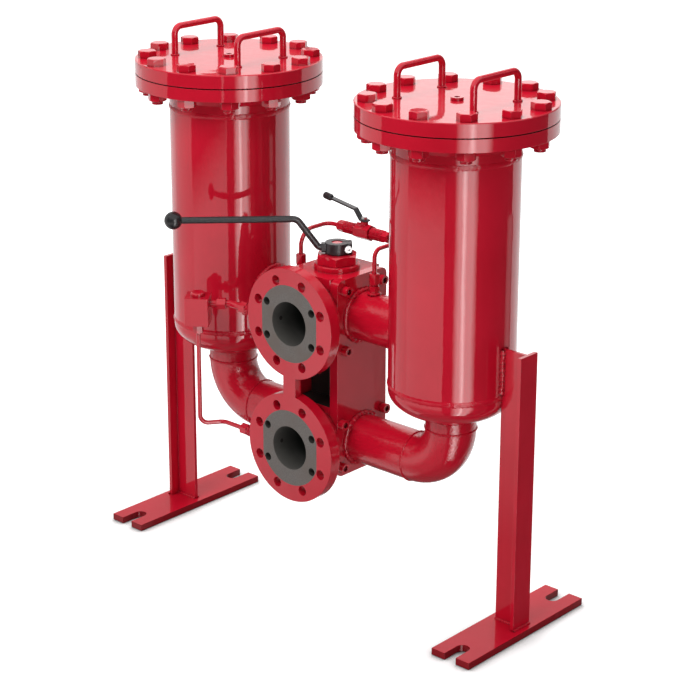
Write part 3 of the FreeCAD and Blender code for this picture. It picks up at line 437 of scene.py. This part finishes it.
def bead(name, points, radius, body="body", closed=True, ripple=0.22, wander=1.0):
    """A weld bead along the points: its width and place change a little from ripple to ripple."""
    curve = bpy.data.curves.new(name, "CURVE")
    curve.dimensions = "3D"
    curve.bevel_depth = radius
    curve.bevel_resolution = 3
    spline = curve.splines.new("POLY")
    spline.points.add(len(points) - 1)
    spline.use_cyclic_u = closed
    for i, (point, place) in enumerate(zip(spline.points, points)):
        drift = Vector([random.uniform(-1, 1) for _ in range(3)]) * radius * 0.1 * wander
        point.co = (*(Vector(place) + drift), 1.0)
        point.radius = 1.0 + ripple * (0.5 - (i % 3) / 2) + random.uniform(-0.08, 0.08) * wander
    thing = bpy.data.objects.new(name, curve)
    thing.data.materials.append(red_weld)
    bpy.context.scene.collection.objects.link(thing)
    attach(thing, body)


def ring(centre, radius, axis, step=0.0022):
    """Points round a circle that looks along the axis."""
    count = 3 * max(8, round(math.tau * radius / step / 3))
    side = Vector((0, 0, 1)) if abs(axis.z) < 0.5 else Vector((1, 0, 0))
    across = axis.cross(side)
    turns = [math.tau * i / count for i in range(count)]
    return [centre + side * math.cos(t) * radius + across * math.sin(t) * radius for t in turns]


along_x = Vector((1, 0, 0))
along_z = Vector((0, 0, 1))


def saddle(side):
    """The line where an upper pipe meets its vessel."""
    points = []
    for place in ring(Vector((0, axis_y, upper_pipe.z)), pipe_r, along_x):
        depth = math.sqrt(vessel_r**2 - (place.y - axis_y) ** 2)
        points.append(Vector((side * (vessel.x - depth), place.y, place.z)))
    return points


def straight(start, end, step=0.0026):
    count = max(2, round((end - start).length / step))
    return [start.lerp(end, i / count) for i in range(count + 1)]


def vessel_welds(label, side):
    x = side * vessel.x
    centre = Vector((x, axis_y, 0))
    upper = Vector((side * plate_x, axis_y, upper_pipe.z))
    lower = Vector((side * plate_x, axis_y, lower_pipe.z))
    nozzle_z = head_tangent_z - head_depth * math.sqrt(1 - (pipe_r / vessel_r) ** 2)
    for tag, seam in (("_head_weld", seam_z), ("_neck_weld", neck_seam_z)):
        path = ring(centre + along_z * seam, seam_ring_r, along_z, 0.0036)
        bead(label + tag, path, seam_bead, ripple=0.012, wander=0.14)
    bead(label + "_upper_plate_weld", ring(upper, pipe_r, along_x, 0.0034), plate_bead, ripple=0.3)
    bead(label + "_lower_plate_weld", ring(lower, pipe_r, along_x, 0.0034), plate_bead, ripple=0.3)
    bead(label + "_upper_vessel_weld", saddle(side), vessel_bead)
    elbow_start = Vector((side * elbow_x, axis_y, lower_pipe.z))
    elbow_end = centre + along_z * elbow_top_z
    bead(label + "_elbow_weld", ring(elbow_start, elbow_ring_r, along_x), elbow_bead)
    bead(label + "_nozzle_weld", ring(elbow_end, elbow_ring_r, along_z), elbow_bead)
    bead(label + "_nozzle_vessel_weld", ring(centre + along_z * nozzle_z, pipe_r, along_z), nozzle_bead)


def leg_welds(label, side):
    wall = side * leg_low.x
    for tag, y in (("front", axis_y - leg_web_half), ("rear", axis_y + leg_web_half)):
        low = Vector((wall, y, head_tangent_z + 0.02))
        high = Vector((wall, y, leg_high.z))
        bead(label + "_leg_weld_" + tag, straight(low, high), leg_bead, closed=False, ripple=0.45)
        foot_in = Vector((wall, y, foot_z))
        foot_out = Vector((side * (leg_high.x - leg_flange), y, foot_z))
        bead(label + "_foot_web_weld_" + tag, straight(foot_in, foot_out), foot_bead, closed=False)
    outer = side * leg_high.x
    low = Vector((outer, leg_low.y, foot_z))
    high = Vector((outer, leg_high.y, foot_z))
    bead(label + "_foot_flange_weld", straight(low, high), foot_flange_bead, closed=False)


def handle_welds(label, side):
    low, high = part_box("right_cover_handles")
    rod = handle_rod_r
    for i, x in enumerate((low.x + rod, high.x - rod)):
        for j, y in enumerate((low.y + rod, high.y - rod)):
            centre = Vector((side * x, y, cover_top_z + 0.0006))
            name = f"{label}_handle_weld_{i}_{j}"
            bead(name, ring(centre, rod, along_z, 0.0016), 0.0022, label + "_cover_assembly")


def painted_thread(name, start, end, radius, thick=0.0013, pitch=0.0031):
    """Thread turns under thick paint, from start to end along a line."""
    way = end - start
    for i in range(max(1, round(way.length / pitch))):
        centre = start + way.normalized() * (pitch * (i + 0.5))
        bead(f"{name}_{i}", ring(centre, radius, way.normalized(), 0.0034), thick, ripple=0.5)


def small_threads():
    """The threads that show between the fittings of the small lines."""
    tube_r = 0.004
    tubes_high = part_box("equalizing_tubes")[1]
    line = Vector((0, tubes_high.y - tube_r, tubes_high.z - tube_r))
    body_end_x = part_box("equalizing_valve_body")[1].x
    for label, side in (("left", -1), ("right", 1)):
        near = line + along_x * side * 0.018
        far = line + along_x * side * (body_end_x - 0.016)
        painted_thread(label + "_valve_thread", near, far, 0.0095, 0.0017)
        tap = Vector((side * 0.088, axis_y, upper_pipe.z + pipe_r))
        bead(label + "_tap_weld", ring(tap + along_z * 0.0015, 0.0095, along_z, 0.0022), 0.0028)
        painted_thread(label + "_tap_thread", tap + along_z * 0.016, tap + along_z * 0.0195, 0.0068)
    for label, port_z in (("upper", upper_pipe.z), ("lower", lower_pipe.z)):
        rim = Vector((-rim_r, port_y + 0.011, port_z))
        painted_thread(label + "_rim_thread", rim - along_x * 0.002, rim - along_x * 0.0115, 0.009)


for label, side in (("left", -1), ("right", 1)):
    vessel_welds(label, side)
    leg_welds(label, side)
    handle_welds(label, side)
small_threads()


# Studio


def only_rays(thing, camera=False, diffuse=False, glossy=False, shadow=False):
    thing.visible_camera = camera
    thing.visible_diffuse = diffuse
    thing.visible_glossy = glossy
    thing.visible_transmission = glossy
    thing.visible_shadow = shadow


def stage_mesh(name, points, faces, material):
    mesh = bpy.data.meshes.new(name)
    mesh.from_pydata(points, [], faces)
    mesh.materials.append(material)
    thing = bpy.data.objects.new(name, mesh)
    bpy.context.scene.collection.objects.link(thing)
    return thing


def level_square(name, reach, height, material):
    """A level square of the studio, with its middle under the object."""
    corners = ((-reach, -reach), (reach, -reach), (reach, reach), (-reach, reach))
    return stage_mesh(name, [(x, y, height) for x, y in corners], [(0, 1, 2, 3)], material)


def surface_graph(name):
    """A material without the usual shader, and the socket that takes another one."""
    g = Graph(name)
    g.tree.nodes.remove(g.shader)
    return g, g.tree.nodes["Material Output"].inputs["Surface"]


def floor():
    """A white floor that keeps the object's shadow, adds a painted contact shadow from ambient occlusion, and
    can be looked through from below.
    """
    g, surface = surface_graph("floor")
    away = g.node("VectorMath", {0: g.place}, operation="LENGTH").outputs["Value"]
    seen = g.node("LightPath").outputs["Is Camera Ray"]
    # Painted contact shadow: ambient occlusion darkens both the glow and the floor's colour near what stands
    # on it.
    painted_contact_shadow = g.ramp(g.corners(0.09), 0.0, 1.0, 0.45, 0.985)
    level = g.math("MULTIPLY", painted_contact_shadow, g.ramp(away, 0.6, 1.1, 0.8, 2.0))
    glow = g.node("Emission", {"Strength": g.math("MULTIPLY", seen, level)})
    matt = g.node("BsdfDiffuse", {"Color": g.mix(painted_contact_shadow, (0.2, 0.2, 0.2, 1.0), (0.66, 0.66, 0.66, 1.0))})
    both = g.node("AddShader", {0: glow.outputs[0], 1: matt.outputs[0]})
    clear = g.node("BsdfTransparent")
    below = g.node("NewGeometry").outputs["Backfacing"]
    sides = g.node("MixShader", {0: below, 1: both.outputs[0], 2: clear.outputs[0]})
    g.put(surface, sides.outputs[0])
    thing = level_square("studio_floor", 14.0, -0.001, g.material)
    only_rays(thing, camera=True, diffuse=True, shadow=True)


core_place = 0.42
core_half = 0.12


def card(name, start, end, low, high, strength, reach=1.6, fade=0.0, soft=0.0, core=0.0):
    """A curved studio card that only reflections see, from start to end and from low to high.

    Its angles are degrees to the right of the camera. With fade it darkens up to its top edge and
    below the object, with soft it darkens to both sides, and core adds a brighter line to that.
    """
    g, surface = surface_graph(name)
    level = strength
    if fade:
        height = g.split(g.place)[2]
        level = g.ramp(height, strength, 0.0, high - fade, high)
        level = g.math("MULTIPLY", level, g.ramp(height, 0.25, 1.0, -0.62, -0.12))
    if soft:
        across = g.split(g.node("TexCoord").outputs["UV"])[0]
        left = g.ramp(across, 0.0, 1.0, 0.0, soft)
        right = g.ramp(across, 1.0, 0.0, 1.0 - soft, 1.0)
        off = g.math("ABSOLUTE", g.math("SUBTRACT", across, core_place))
        level = g.math("MULTIPLY", g.math("MULTIPLY", left, right), strength)
        level = g.math("ADD", level, g.ramp(off, core, 0.0, 0.0, core_half))
    glow = g.node("Emission", {"Strength": level, "Color": card_tint})
    g.put(surface, glow.outputs[0])
    steps = 24
    points = []
    for i in range(steps + 1):
        turn = math.radians(start + (end - start) * i / steps) + camera_yaw - math.pi / 2
        points.append((vessel.x + reach * math.cos(turn), axis_y + reach * math.sin(turn)))
    verts = [(x, y, low) for x, y in points] + [(x, y, high) for x, y in points]
    faces = [(i, i + 1, i + steps + 2, i + steps + 1) for i in range(steps)]
    thing = stage_mesh(name, verts, faces, g.material)
    layer = thing.data.uv_layers.new()
    for loop in thing.data.loops:
        row, column = divmod(loop.vertex_index, steps + 1)
        layer.data[loop.index].uv = (column / steps, row)
    only_rays(thing, glossy=True)


def under_flag():
    """A dark card far below, so that what faces down reflects no white."""
    g, surface = surface_graph("under_flag")
    glow = g.node("Emission", {"Strength": 0.12, "Color": card_tint})
    g.put(surface, glow.outputs[0])
    only_rays(level_square("under_flag", 2.8, -2.39, g.material), glossy=True)


def lamp(name, turn, rise, reach, size, power):
    """An area lamp aimed at the object; its turn is degrees to the right of the camera."""
    light = bpy.data.lights.new(name, "AREA")
    light.shape = "SQUARE"
    light.size = size
    light.energy = power
    thing = bpy.data.objects.new(name, light)
    angle = math.radians(turn) + camera_yaw - math.pi / 2
    up = math.radians(rise)
    aim = Vector((0, axis_y, 0.5))
    way = Vector((math.cos(angle) * math.cos(up), math.sin(angle) * math.cos(up), math.sin(up)))
    thing.location = aim + way * reach
    thing.rotation_mode = "QUATERNION"
    thing.rotation_quaternion = way.to_track_quat("Z", "Y")
    thing.visible_glossy = False
    bpy.context.scene.collection.objects.link(thing)


def sky():
    """White for the camera and for reflections, and a soft grey light for everything else."""
    world = bpy.data.worlds.new("studio")
    world.use_nodes = True
    bpy.context.scene.world = world
    tree = world.node_tree
    tree.nodes.clear()
    rays = tree.nodes.new("ShaderNodeLightPath").outputs
    seen = rays["Is Camera Ray"]
    for kind in ("Is Glossy Ray", "Is Transmission Ray"):
        either = tree.nodes.new("ShaderNodeMath")
        either.operation = "MAXIMUM"
        tree.links.new(seen, either.inputs[0])
        tree.links.new(rays[kind], either.inputs[1])
        seen = either.outputs[0]
    soft = tree.nodes.new("ShaderNodeBackground")
    soft.inputs["Strength"].default_value = 0.34
    bright = tree.nodes.new("ShaderNodeBackground")
    bright.inputs["Color"].default_value = white
    bright.inputs["Strength"].default_value = 1.0
    mixed = tree.nodes.new("ShaderNodeMixShader")
    output = tree.nodes.new("ShaderNodeOutputWorld")
    for socket, made in zip(mixed.inputs, (seen, soft.outputs[0], bright.outputs[0])):
        tree.links.new(made, socket)
    tree.links.new(mixed.outputs[0], output.inputs["Surface"])


floor()
sky()

# Each card: name, start and end angle, low and high edge, strength
card("left_wall", -126, -90, -2.4, 1.6, 0.8, reach=1.56)
card("broad_softbox", -98, -20, -2.4, 0.43, 1.02, fade=0.16)
card("broad_flag", -98, -20, 0.32, 1.6, 0.03, reach=1.7)
card("gap_flag", -20, -5, -2.4, 1.6, 0.02, reach=1.5)
card("strip_softbox", -4, 36, -2.4, 1.6, 3.6, reach=1.55, soft=0.22, core=4.5)
card("plate_bounce", 96, 113, -1.2, 0.5, 0.5, reach=0.9, soft=0.3)
card("side_flag", -6, 112, -2.4, 1.6, 0.03, reach=1.7)
card("rear_flag", 108, 252, 0.5, 3.2, 0.2, reach=2.6)
card("cover_wash", 140, 230, 0.7, 2.9, 1.15, reach=2.52, soft=0.06)
card("right_cover_wash", 160, 186.6, 0.9, 2.6, 1.45, reach=2.45, soft=0.06)
under_flag()

# Each lamp: name, turn, rise, reach, size, power
lamp("key_lamp", -46, 42, 3.4, 1.8, 74)
lamp("low_lamp", 6, 8, 3.4, 1.4, 12)
lamp("fill_lamp", 40, 25, 3.6, 1.8, 12)
lamp("top_lamp", 170, 72, 3.0, 2.4, 86)


# Camera


def camera():
    data = bpy.data.cameras.new("camera")
    data.lens = camera_lens
    data.sensor_width = 36.0
    data.shift_x, data.shift_y = camera_shift
    data.clip_end = 60.0
    thing = bpy.data.objects.new("camera", data)
    thing.location = camera_place
    thing.rotation_euler = (math.pi / 2 - camera_pitch, 0.0, camera_yaw)
    bpy.context.scene.collection.objects.link(thing)
    bpy.context.scene.camera = thing


camera()
bpy.context.scene.view_settings.view_transform = "Standard"
